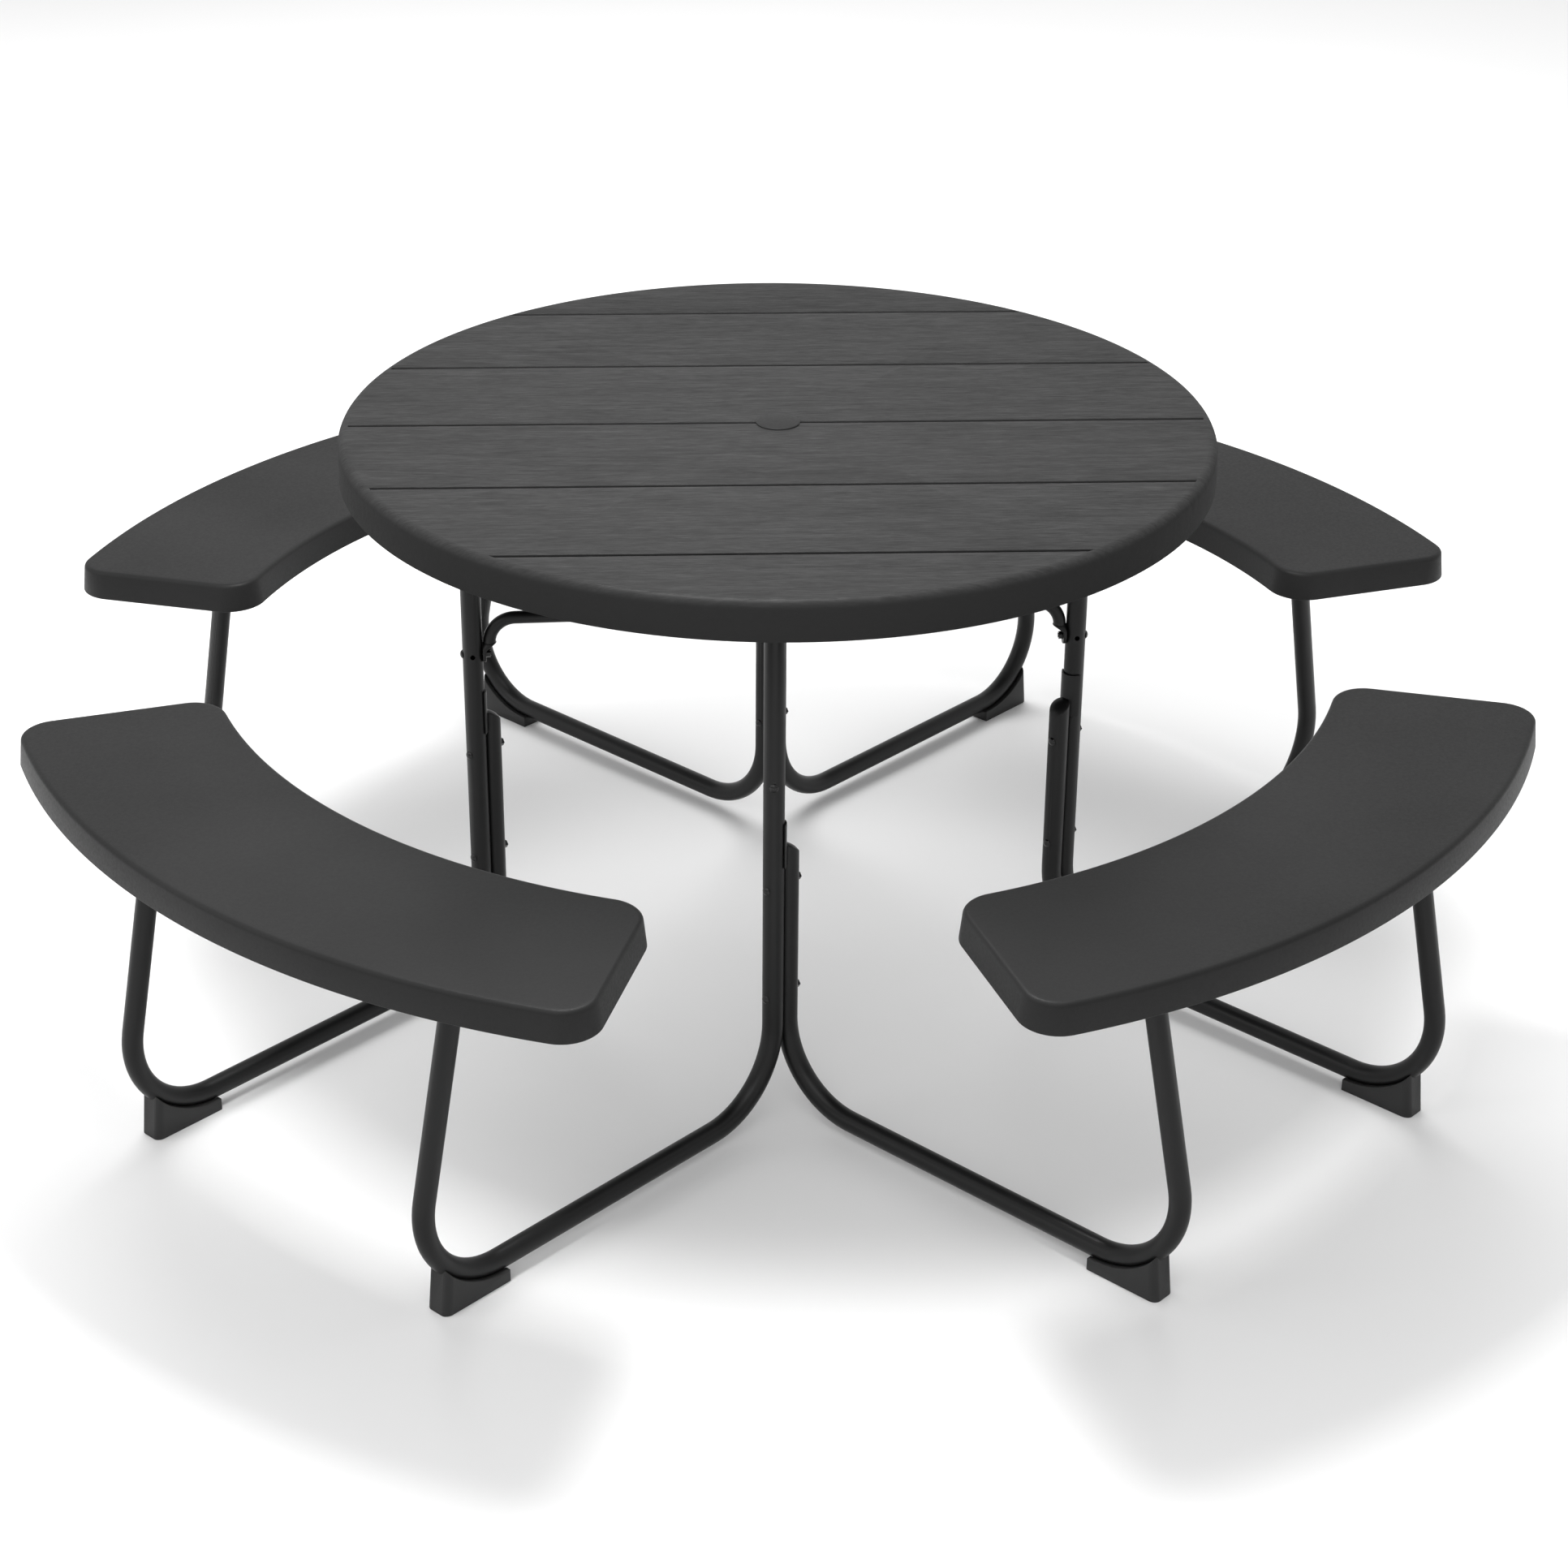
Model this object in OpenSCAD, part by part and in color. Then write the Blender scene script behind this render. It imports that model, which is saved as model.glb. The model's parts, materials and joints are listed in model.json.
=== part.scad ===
// Round picnic table with four curved benches on bent steel tube.
// Origin on the floor under the middle of the top, +Z up, millimetres.
// Benches stand on the diagonals, and the four posts on the X and Y axes.

/* [Tabletop] */
// Diameter of the round top
table_d = 1066; // [940:2:1280]
// Height of the top face above the floor
table_h = 751; // [700:1:900]
// Height of the rim around the edge
rim_h = 48; // [42:1:60]
// Rounding of the rim's upper edge
rim_round = 11; // [6:0.5:14]
// Thickness of the rim wall
rim_wall = 6; // [4:0.5:8]
// Thickness of the top panel
panel_t = 9; // [7:0.5:12]
// Width of one moulded plank
plank_w = 200; // [150:1:220]
// Number of grooves between planks, an odd number
groove_count = 5; // [3:2:5]
// Width of a groove
groove_w = 4; // [2:0.5:6]
// Depth of a groove
groove_depth = 2.5; // [1:0.5:4]
// Depth of the ribs under the top
top_rib_h = 14; // [8:1:18]

/* [Umbrella hole] */
// Diameter of the umbrella hole in the top and in the ring below it
pole_hole_d = 44; // [38:1:50]
// Diameter of the cap's visible head
cap_d = 54; // [52:1:64]
// Height of the cap's head above the top
cap_h = 4; // [3:0.5:6]
// Depth of the cap's spigot
cap_spigot_h = 20; // [12:1:28]

/* [Benches] */
// Height of the seat face above the floor
seat_h = 467; // [430:1:560]
// Thickness of a seat
seat_t = 37; // [30:1:46]
// Radius of the seat's inner edge
seat_inner_r = 758; // [720:1:800]
// Depth of a seat from inner to outer edge
seat_depth = 248; // [210:1:300]
// How far behind the table's axis the seat's arcs are centred
seat_offset = 75; // [40:1:90]
// Half of the angle that a seat spans
seat_half_a = 29; // [25:0.5:33]
// Plan radius of a seat's corners
seat_corner_r = 45; // [25:1:60]
// Rounding of the seat's upper long edges
seat_lip = 5; // [3:0.5:8]
// Rounding of the seat's lower long edges, less than the wall
seat_low_lip = 1.5; // [0.5:0.5:2]
// Thickness of the seat's outer wall
seat_wall = 5; // [3:0.5:7]
// Thickness of the seat's top and bottom skins
seat_skin = 4; // [3:0.5:6]

/* [Frame] */
// Outside diameter of the frame tube
tube_d = 25.4; // [22:0.2:32]
// Wall of the frame tube
tube_wall = 1.5; // [1:0.1:2]
// Half of the distance between the two loops of a bench
loop_half = 256; // [220:1:300]
// Outermost reach of a loop's centreline from the table's axis
loop_reach = 841; // [760:1:900]
// Centreline radius of the loops' bends
bend_r = 105; // [80:1:130]
// How far the bench leg leans back towards the table
leg_lean = 12.8; // [5:0.1:18]
// Gap between the floor and the underside of a runner
runner_gap = 11.3; // [8:0.1:16]
// Height at which the short post ends
short_post_h = 345; // [250:1:400]
// Height of the short post's flattened tongue above its end
tongue_h = 58; // [40:1:70]
// Thickness of the tongue
tongue_t = 2.4; // [1.6:0.1:3]
// Height of the lower screw that joins a pair of posts
pair_low_h = 168; // [150:1:200]
// Height of the upper screw that joins a pair of posts
pair_high_h = 316; // [230:1:330]

/* [Cross brace] */
// Outside diameter of the brace tube
brace_d = 16; // [14:0.5:20]
// Height of the brace's centreline
brace_h = 502; // [440:1:560]
// Centreline radius of the brace's end bends
brace_bend_r = 33; // [28:1:45]
// How far the brace's end bolt sits below its centreline
brace_drop = 48; // [46:1:60]
// Thickness of the brace's flattened end
brace_flat_t = 4; // [3:0.5:5]
// Height of the umbrella ring
ring_h = 50; // [36:1:70]
// Wall of the umbrella ring
ring_wall = 3; // [2:0.5:5]

/* [Feet] */
// Width of a foot
foot_w = 34; // [30:1:44]
// Length of a foot along its runner
foot_len = 93; // [70:1:110]
// Rounding of a foot's outer corners
foot_round = 9; // [4:0.5:14]

/* [Fasteners] */
// Diameter of the frame bolts
bolt_d = 6; // [5:0.5:8]
// Diameter of the frame bolts' heads
bolt_head_d = 11; // [9:0.5:14]
// Diameter of the plate screws
screw_d = 4.8; // [4:0.1:6]
// Length of the flange and seat screws
screw_len = 20; // [14:1:24]
// Clearance round a bolt or screw in its hole
hole_gap = 0.2; // [0.1:0.05:0.4]
// Clearance between parts that lie against each other
fit_gap = 0.2; // [0.1:0.05:0.4]

/* [Hidden] */
$fn = 96;
bite = 0.5;                                // overlap that joins two pieces of one solid
weld = 0.04;                               // hair by which a curve stands proud of the face it runs on from
tube_r = tube_d / 2;
runner_h = runner_gap + tube_r;            // centreline height of a runner
stack = tube_d + fit_gap;                  // distance between the axes of a post pair
short_x = loop_half;                       // short posts stand on the X and Y axes
tall_x = loop_half + stack;
post_r = norm([tall_x, loop_half]);        // distance of a tall post from the table's axis
post_a = atan2(loop_half, tall_x);         // its angle from the bench's diagonal

bend_z = runner_h + bend_r;
leg_bend_x = loop_reach - bend_r;
seat_low = seat_h - seat_t;
seat_plate_t = 3;
seat_plate_l = 96;
seat_plate_w = 56;
seat_plate_r = 8;
leg_top = seat_low - seat_plate_t;
leg_start_x = leg_bend_x + bend_r * cos(leg_lean);
leg_start_z = bend_z + bend_r * sin(leg_lean);
leg_len = (leg_top - leg_start_z) / cos(leg_lean);
leg_top_x = leg_start_x - leg_len * sin(leg_lean);

seat_outer_r = seat_inner_r + seat_depth;
seat_mid_r = seat_inner_r + seat_depth / 2;
plate_a = atan2(loop_half, leg_top_x + seat_offset);
plate_r = norm([loop_half, leg_top_x + seat_offset]);
// angles of the seat's corner centres about its arc centre
corner_out_a = seat_half_a - asin(seat_corner_r / (seat_outer_r - seat_corner_r));
corner_in_a = seat_half_a - asin(seat_corner_r / (seat_inner_r + seat_corner_r));
pad_half_a = 2.5;                          // half the angle of a seat's solid pad
rib_t = 4;
seat_cells = 4;                            // hollows between a seat's two pads

top_low = table_h - rim_h;
flange_t = 3;
flange_d = 76;
flange_recess = 8;                         // flange lies this far above the rim's lower edge
flange_low = top_low + flange_recess;
flange_screw_r = 28;
collar_wall = 2.5;
collar_h = 24;
pad_d = flange_d + 6;
boss_d = pole_hole_d + 26;
spoke_count = 12;

brace_r = brace_d / 2;
brace_bore_r = brace_r - 1.5;
collar_lip = 0.4;                          // how far the flattened end stands proud of the round tube
flat_face_x = post_r - tube_r - fit_gap;       // outer face of an arm's flattened end
arm_x = flat_face_x - brace_r - collar_lip;    // centreline of an arm's downturned end
brace_bolt_h = brace_h - brace_drop;
brace_flat_w = brace_d + 6;
flat_run = 8;                              // length over which the arm's end is flattened
ring_r = pole_hole_d / 2 + ring_wall;
arm_start = ring_r + 1;
spigot_len = 30;
spigot_r = brace_bore_r - fit_gap;
ring_screw_x = ring_r + 16;
ring_screw_d = 4;

bolt_r = bolt_d / 2;
bolt_hole_r = bolt_r + hole_gap;
screw_r = screw_d / 2;
head_h = 3;
nut_h = 5;
foot_screw_x = leg_bend_x + 12;
foot_end = leg_bend_x - 4 + foot_len;
foot_saddle = 8;                           // the foot's sides stop this far below the tube's centre

SW = 225;
SE = 315;
NE = 45;
NW = 135;
TALL = [[SW, 1], [SW, -1], [NE, 1], [NE, -1]];
SHORT = [[SE, -1], [SE, 1], [NW, 1], [NW, -1]];
LOOPS = concat(TALL, SHORT);

// ---- places ----

// Local frame of a loop: +X out along the bench's diagonal, the loop in the XZ plane.
module at_loop(bench, side) {
    rotate([0, 0, bench])
        translate([0, side * loop_half, 0])
            children();
}

// Local frame of a tall post: +X away from the table's axis, origin on the post's axis.
module at_tall_post(bench, side) {
    rotate([0, 0, bench + side * post_a])
        translate([post_r, 0, 0])
            children();
}

// Turns a shape that stands along +Z so that it lies along +X.
module along_x() {
    rotate([0, 90, 0])
        children();
}

// Turns a shape that stands along +Z so that it lies along +Y.
module along_y() {
    rotate([-90, 0, 0])
        children();
}

// ---- bent tube ----

// A quarter or more of a torus in the XZ plane.
module bend(centre_x, centre_z, radius, from_a, sweep, r) {
    translate([centre_x, 0, centre_z])
        rotate([90, 0, 0])
            rotate([0, 0, from_a])
                rotate_extrude(angle = sweep)
                    translate([radius, 0])
                        circle(r);
}

// Solid of radius r along a loop: post, bend, runner, bend and leaning leg.
module loop_path(post_x, post_top, r) {
    translate([post_x, 0, bend_z])
        cylinder(h = post_top - bend_z, r = r);
    bend(post_x + bend_r, bend_z, bend_r, 180, 90, r);
    translate([post_x + bend_r, 0, runner_h])
        along_x()
            cylinder(h = leg_bend_x - post_x - bend_r, r = r);
    bend(leg_bend_x, bend_z, bend_r, 270, 90 + leg_lean, r);
    // the leg starts inside the bend and is wider by a hair, so that the two join
    translate([leg_start_x, 0, leg_start_z])
        rotate([0, -leg_lean, 0])
            translate([0, 0, -bite])
                cylinder(h = leg_len + tube_r + bite, r = r + weld);
}

// Everything above the seat plate's underside, to cut a leg off level.
module above_leg() {
    translate([leg_top_x - tube_d * 2, -tube_d, leg_top])
        cube([tube_d * 4, tube_d * 2, tube_d * 2]);
}

module foot_screw_hole(r) {
    translate([foot_screw_x, 0, 0])
        cylinder(h = runner_h, r = r);
}

module tall_loop(bench, side) {
    color("#26282a")
        at_loop(bench, side)
            difference() {
                loop_path(tall_x, flange_low, tube_r);
                loop_path(tall_x, flange_low + bite, tube_r - tube_wall);
                above_leg();
                foot_screw_hole(2 + hole_gap);
                for (h = [pair_low_h, pair_high_h])
                    translate([tall_x - tube_d, 0, h])
                        along_x()
                            cylinder(h = tube_d * 2, r = bolt_hole_r);
                // one part serves both posts of a bench, so it is drilled both ways
                for (turn = [0, 90])
                    translate([tall_x, 0, brace_bolt_h])
                        rotate([0, 0, side * post_a + turn])
                            along_x()
                                cylinder(h = tube_d * 2, r = bolt_hole_r, center = true);
            }
}

// Closed end of a short post: a shoulder that slopes up into a tongue round the tall post.
module short_end(side) {
    shoulder = tube_d * 0.95;
    translate([short_x, 0, short_post_h])
        intersection() {
            translate([0, 0, -bite])
                cylinder(h = shoulder + bite, r = tube_r);
            translate([0, side * tube_r * 0.95, -bite])
                sphere(r = shoulder + bite * 2);
        }
    translate([short_x, side * stack, short_post_h - bite])
        intersection() {
            cylinder(h = tongue_h + bite, r = tube_r + fit_gap + tongue_t);
            translate([0, -side * tube_d, tongue_h * 0.5])
                cube([tube_d * 2, tube_d * 1.72, tongue_h * 2], center = true);
        }
}

module short_loop(bench, side) {
    color("#26282a")
        at_loop(bench, side)
            difference() {
                union() {
                    loop_path(short_x, short_post_h, tube_r);
                    short_end(side);
                }
                loop_path(short_x, short_post_h - bite, tube_r - tube_wall);
                // seat for the tall post that the tongue lies against
                translate([short_x, side * stack, short_post_h - tube_d])
                    cylinder(h = tongue_h + tube_d * 2, r = tube_r + fit_gap);
                above_leg();
                foot_screw_hole(2 + hole_gap);
                for (h = [pair_low_h, pair_high_h])
                    translate([short_x, -tube_d, h])
                        along_y()
                            cylinder(h = tube_d * 2, r = bolt_hole_r);
            }
}

// ---- feet ----

module foot(bench, side) {
    color("#232425")
        at_loop(bench, side)
            difference() {
                intersection() {
                    translate([foot_end - foot_len, 0, 0])
                        foot_plan();
                    // side shape: below the line that follows the bend
                    along_y()
                        translate([0, 0, -foot_w])
                            linear_extrude(foot_w * 2)
                                foot_side();
                }
                bend(leg_bend_x, bend_z, bend_r, 250, 110, tube_r + fit_gap);
                translate([leg_bend_x - foot_len, 0, runner_h])
                    along_x()
                        cylinder(h = foot_len, r = tube_r + fit_gap);
                foot_screw_hole(2 + hole_gap);
                translate([foot_screw_x, 0, -bite])
                    cylinder(h = 5 + bite, r = 4.2);
            }
}

// Plan of a foot with rounded outer corners, standing on the floor.
module foot_plan() {
    linear_extrude(bend_z)
        union() {
            translate([0, -foot_w / 2])
                square([foot_len - foot_round, foot_w]);
            translate([0, -foot_w / 2 + foot_round])
                square([foot_len, foot_w - foot_round * 2]);
            for (s = [-1, 1])
                translate([foot_len - foot_round, s * (foot_w / 2 - foot_round)])
                    circle(foot_round);
        }
}

// Side view of a foot in X and -Z, outside the bend's saddle line.
module foot_side() {
    difference() {
        translate([foot_end - foot_len, -bend_z])
            square([foot_len, bend_z]);
        translate([leg_bend_x, -bend_z])
            circle(bend_r + foot_saddle);
        translate([0, -bend_z])
            square([leg_bend_x, bend_r - foot_saddle]);
    }
}

// ---- seats ----

function polar(r, a) = [r * cos(a), r * sin(a)];

// Outline of a seat about its arc centre; its long arcs are left to the ring it cuts.
module seat_plan() {
    far = seat_outer_r * 1.2;
    inner = polar(seat_inner_r + seat_corner_r, corner_in_a);
    outer = polar(seat_outer_r - seat_corner_r, corner_out_a);
    out = polar(seat_corner_r, seat_half_a + 90);
    half = [inner, inner + out, outer + out, outer, polar(far, corner_out_a)];
    polygon(concat(
        [[0, 0]],
        [for (p = half) [p[0], -p[1]]],
        [for (k = [4 : -1 : 0]) half[k]]
    ));
    for (s = [-1, 1])
        for (c = [inner, outer])
            translate([c[0], s * c[1]])
                circle(seat_corner_r + weld);
}

// Cross-section of a seat with rounded long edges.
module seat_section() {
    translate([seat_inner_r, seat_low_lip])
        square([seat_depth, seat_t - seat_lip - seat_low_lip]);
    translate([seat_inner_r + seat_lip, seat_t / 2])
        square([seat_depth - seat_lip * 2, seat_t / 2]);
    translate([seat_inner_r + seat_low_lip, 0])
        square([seat_depth - seat_low_lip * 2, seat_t / 2]);
    for (x = [seat_inner_r + seat_lip, seat_outer_r - seat_lip])
        translate([x, seat_t - seat_lip])
            circle(seat_lip);
    for (x = [seat_inner_r + seat_low_lip, seat_outer_r - seat_low_lip])
        translate([x, seat_low_lip])
            circle(seat_low_lip);
}

// One closed hollow inside a seat, between two angles.
module seat_hollow(r_in, r_out, from_a, to_a) {
    rotate([0, 0, from_a])
        rotate_extrude(angle = to_a - from_a)
            translate([r_in, seat_skin])
                square([r_out - r_in, seat_t - seat_skin * 2]);
}

// The hollows stop at the ribs and at the solid pads that hold the screws.
module seat_hollows() {
    rib_a = rib_t / seat_mid_r * 180 / PI / 2;
    inner_a = plate_a - pad_half_a;
    outer_a = plate_a + pad_half_a;
    step = 2 * inner_a / seat_cells;
    for (band = [[seat_inner_r + seat_wall, seat_mid_r - rib_t / 2],
                 [seat_mid_r + rib_t / 2, seat_outer_r - seat_wall]]) {
        for (k = [0 : seat_cells - 1])
            seat_hollow(band[0], band[1], -inner_a + k * step + rib_a, -inner_a + (k + 1) * step - rib_a);
        for (s = [-1, 1])
            seat_hollow(band[0], band[1], min(s * outer_a, s * corner_in_a), max(s * outer_a, s * corner_in_a));
    }
}

module seat(bench) {
    color("#4b4c4e")
        difference() {
            rotate([0, 0, bench])
                translate([-seat_offset, 0, seat_low])
                    difference() {
                        intersection() {
                            rotate_extrude($fn = 360)
                                seat_section();
                            linear_extrude(seat_t)
                                seat_plan();
                        }
                        seat_hollows();
                    }
            for (s = [-1, 1])
                at_loop(bench, s)
                    at_seat_screws()
                        translate([0, 0, -bite])
                            cylinder(h = screw_len + 1, r = screw_r + hole_gap);
        }
}

// ---- seat plates ----

module at_seat_screws() {
    inset = 12;
    for (x = [-1, 1])
        for (y = [-1, 1])
            translate([
                leg_top_x + x * (seat_plate_l / 2 - inset),
                y * (seat_plate_w / 2 - inset),
                seat_low
            ])
                children();
}

module rounded_plate(length, width, thickness, corner) {
    linear_extrude(thickness)
        union() {
            square([length - corner * 2, width], center = true);
            square([length, width - corner * 2], center = true);
            for (x = [-1, 1])
                for (y = [-1, 1])
                    translate([x * (length / 2 - corner), y * (width / 2 - corner)])
                        circle(corner);
        }
}

module seat_plate(bench, side) {
    color("#26282a")
        at_loop(bench, side)
            difference() {
                translate([leg_top_x, 0, leg_top])
                    rounded_plate(seat_plate_l, seat_plate_w, seat_plate_t, seat_plate_r);
                at_seat_screws()
                    translate([0, 0, -seat_plate_t - bite])
                        cylinder(h = seat_plate_t + bite * 2, r = screw_r + hole_gap);
            }
}

// ---- tabletop ----

// Half section of the top's shell, rim and panel, above the rim's lower edge.
module top_section() {
    radius = table_d / 2;
    difference() {
        union() {
            square([radius, rim_h - rim_round]);
            square([radius - rim_round, rim_h]);
            translate([radius - rim_round, rim_h - rim_round])
                circle(rim_round);
        }
        translate([-bite, -bite])
            square([radius - rim_wall + bite, rim_h - panel_t + bite]);
    }
}

module top_ribs() {
    under = table_h - panel_t;
    reach = table_d / 2 - rim_wall;
    translate([0, 0, under - top_rib_h])
        for (k = [0 : spoke_count - 1])
            rotate([0, 0, (k + 0.5) * 360 / spoke_count])
                translate([boss_d / 2 - bite, -rib_t / 2, 0])
                    cube([reach - boss_d / 2 + bite * 2, rib_t, top_rib_h + bite]);
    for (r = [reach * 0.4, reach * 0.88])
        translate([0, 0, under - top_rib_h])
            difference() {
                cylinder(h = top_rib_h + bite, r = r + rib_t / 2, $fn = 180);
                translate([0, 0, -bite])
                    cylinder(h = top_rib_h + bite * 3, r = r - rib_t / 2, $fn = 180);
            }
}

module top_grooves() {
    inset = rim_round + 2;
    half = (groove_count - 1) / 2;
    for (k = [-half : half]) {
        chord = sqrt(pow(table_d / 2 - inset, 2) - pow(k * plank_w, 2));
        translate([-chord, k * plank_w - groove_w / 2, table_h - groove_depth])
            cube([chord * 2, groove_w, groove_depth + bite]);
    }
}

module tabletop() {
    color("#505153")
        difference() {
            union() {
                translate([0, 0, top_low])
                    rotate_extrude($fn = 360)
                        top_section();
                top_ribs();
                translate([0, 0, table_h - panel_t - top_rib_h])
                    cylinder(h = top_rib_h + bite, d = boss_d);
                for (p = TALL)
                    at_tall_post(p[0], p[1])
                        translate([0, 0, flange_low + flange_t])
                            cylinder(h = table_h - panel_t - flange_low - flange_t + bite, d = pad_d);
            }
            top_grooves();
            translate([0, 0, top_low])
                cylinder(h = rim_h + bite, d = pole_hole_d);
            for (p = TALL)
                at_tall_post(p[0], p[1])
                    at_flange_screws()
                        cylinder(h = screw_len + 1, r = screw_r + hole_gap);
        }
}

module umbrella_cap() {
    spigot_r = pole_hole_d / 2 - 0.5;
    dome_r = (pow(cap_d / 2, 2) + pow(cap_h, 2)) / (2 * cap_h) * 1.6;
    color("#47484a")
        difference() {
            union() {
                intersection() {
                    translate([0, 0, table_h])
                        cylinder(h = cap_h, d = cap_d);
                    translate([0, 0, table_h + cap_h - dome_r])
                        sphere(dome_r, $fn = 180);
                }
                translate([0, 0, table_h - cap_spigot_h])
                    cylinder(h = cap_spigot_h + bite, r = spigot_r);
            }
            translate([0, 0, table_h - cap_spigot_h - bite])
                cylinder(h = cap_spigot_h + bite, r = spigot_r - 2.5);
        }
}

// ---- post flanges ----

module at_flange_screws() {
    for (a = [45 : 90 : 315])
        rotate([0, 0, a])
            translate([flange_screw_r, 0, flange_low + flange_t])
                children();
}

module post_flange(bench, side) {
    color("#26282a")
        at_tall_post(bench, side)
            difference() {
                union() {
                    translate([0, 0, flange_low])
                        cylinder(h = flange_t, d = flange_d);
                    translate([0, 0, flange_low - collar_h])
                        cylinder(h = collar_h + bite, r = tube_r + fit_gap + collar_wall);
                }
                translate([0, 0, flange_low - collar_h - bite])
                    cylinder(h = collar_h + bite, r = tube_r + fit_gap);
                at_flange_screws()
                    translate([0, 0, -flange_t - bite])
                        cylinder(h = flange_t + bite * 2, r = screw_r + hole_gap);
            }
}

// ---- cross brace ----

module umbrella_ring() {
    color("#26282a")
        difference() {
            union() {
                translate([0, 0, brace_h - ring_h / 2])
                    cylinder(h = ring_h, r = ring_r);
                for (p = TALL)
                    rotate([0, 0, p[0] + p[1] * post_a])
                        translate([pole_hole_d / 2 + 1, 0, brace_h])
                            along_x()
                                cylinder(h = ring_wall + spigot_len, r = spigot_r);
            }
            translate([0, 0, brace_h - ring_h / 2 - bite])
                cylinder(h = ring_h + bite * 2, d = pole_hole_d);
            for (p = TALL)
                rotate([0, 0, p[0] + p[1] * post_a])
                    translate([ring_screw_x, 0, brace_h])
                        cylinder(h = brace_d * 2, r = ring_screw_d / 2 + hole_gap, center = true);
        }
}

// Solid of radius r along an arm, from the ring to where its end is flattened.
module arm_path(r, from_x) {
    translate([from_x, 0, brace_h])
        along_x()
            cylinder(h = arm_x - brace_bend_r - from_x, r = r);
    bend(arm_x - brace_bend_r, brace_h - brace_bend_r, brace_bend_r, 0, 90, r);
}

module brace_arm(bench, side) {
    flat_top = brace_h - brace_bend_r;
    flat_x = flat_face_x - brace_flat_t;
    color("#26282a")
        rotate([0, 0, bench + side * post_a])
            difference() {
                union() {
                    difference() {
                        arm_path(brace_r, arm_start);
                        arm_path(brace_bore_r, arm_start - bite);
                    }
                    hull() {
                        translate([arm_x, 0, flat_top - bite])
                            cylinder(h = bite * 2, r = brace_r + collar_lip, $fn = 32);
                        translate([flat_x, -brace_flat_w / 2, flat_top - flat_run])
                            cube([brace_flat_t, brace_flat_w, bite]);
                    }
                    translate([flat_x, -brace_flat_w / 2, brace_bolt_h])
                        cube([brace_flat_t, brace_flat_w, flat_top - flat_run - brace_bolt_h + bite]);
                    translate([flat_x, 0, brace_bolt_h])
                        along_x()
                            cylinder(h = brace_flat_t, r = brace_flat_w / 2);
                }
                translate([flat_x - bite, 0, brace_bolt_h])
                    along_x()
                        cylinder(h = brace_flat_t + bite * 2, r = bolt_hole_r);
                translate([ring_screw_x, 0, brace_h])
                    cylinder(h = brace_d * 2, r = ring_screw_d / 2 + hole_gap, center = true);
            }
}

// ---- fasteners ----

// Button-head bolt along +Z, its head's underside at z = 0.
module bolt(length, r, head_d) {
    translate([0, 0, -bite])
        cylinder(h = length + bite, r = r);
    intersection() {
        translate([0, 0, -head_h])
            cylinder(h = head_h, d = head_d);
        translate([0, 0, head_d * 0.62 - head_h])
            sphere(head_d * 0.62);
    }
}

// Hexagon nut along +Z with a plain bore.
module nut(height, across, r) {
    difference() {
        cylinder(h = height, d = across, $fn = 6);
        translate([0, 0, -bite])
            cylinder(h = height + bite * 2, r = r);
    }
}

// Where the head's underside and the nut's face lie for a pair, on the local Y axis.
function head_y(side) = side < 0 ? -(stack + tube_r) : -tube_r;
function nut_y(side) = side < 0 ? tube_r : stack + tube_r;

module pair_fastener(p, h, is_nut) {
    turn = p[0] == SE ? 1 : -1;
    side = p[1] * turn;
    at_loop(p[0], p[1])
        translate([short_x, 0, h])
            rotate([0, 0, turn > 0 ? 0 : 180])
                if (is_nut)
                    translate([0, nut_y(side), 0])
                        along_y()
                            nut(nut_h, bolt_head_d, bolt_r + 0.05);
                else
                    translate([0, head_y(side), 0])
                        along_y()
                            bolt(nut_y(side) - head_y(side) + nut_h + 1, bolt_r, bolt_head_d);
}

module pair_bolts() {
    color("#1c1d1e")
        for (p = SHORT)
            for (h = [pair_low_h, pair_high_h])
                pair_fastener(p, h, false);
}

module pair_nuts() {
    color("#1c1d1e")
        for (p = SHORT)
            for (h = [pair_low_h, pair_high_h])
                pair_fastener(p, h, true);
}

// Brace bolts enter from the outer side of each tall post.
module brace_bolts() {
    inner = tube_r + fit_gap + brace_flat_t;
    color("#1c1d1e")
        for (p = TALL)
            at_tall_post(p[0], p[1])
                translate([tube_r, 0, brace_bolt_h])
                    rotate([0, -90, 0])
                        bolt(tube_r + inner + nut_h + 1, bolt_r, bolt_head_d);
}

module brace_nuts() {
    inner = tube_r + fit_gap + brace_flat_t;
    color("#1c1d1e")
        for (p = TALL)
            at_tall_post(p[0], p[1])
                translate([-inner, 0, brace_bolt_h])
                    rotate([0, -90, 0])
                        nut(nut_h, bolt_head_d, bolt_r + 0.05);
}

// Screws run up, their heads under the plate.
module flange_screws() {
    color("#1c1d1e")
        for (p = TALL)
            at_tall_post(p[0], p[1])
                at_flange_screws()
                    translate([0, 0, -flange_t])
                        bolt(screw_len, screw_r, screw_d * 1.9);
}

module seat_screws() {
    color("#1c1d1e")
        for (p = LOOPS)
            at_loop(p[0], p[1])
                at_seat_screws()
                    translate([0, 0, -seat_plate_t])
                        bolt(screw_len, screw_r, screw_d * 1.9);
}

module ring_screws() {
    color("#1c1d1e")
        for (p = TALL)
            rotate([0, 0, p[0] + p[1] * post_a])
                translate([ring_screw_x, 0, brace_h + brace_r])
                    rotate([180, 0, 0])
                        bolt(brace_d + 1, ring_screw_d / 2, ring_screw_d * 2);
}

module foot_screws() {
    color("#1c1d1e")
        for (p = LOOPS)
            at_loop(p[0], p[1])
                translate([foot_screw_x, 0, 5])
                    bolt(runner_h - 8, 2, 7.6);
}

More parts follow.
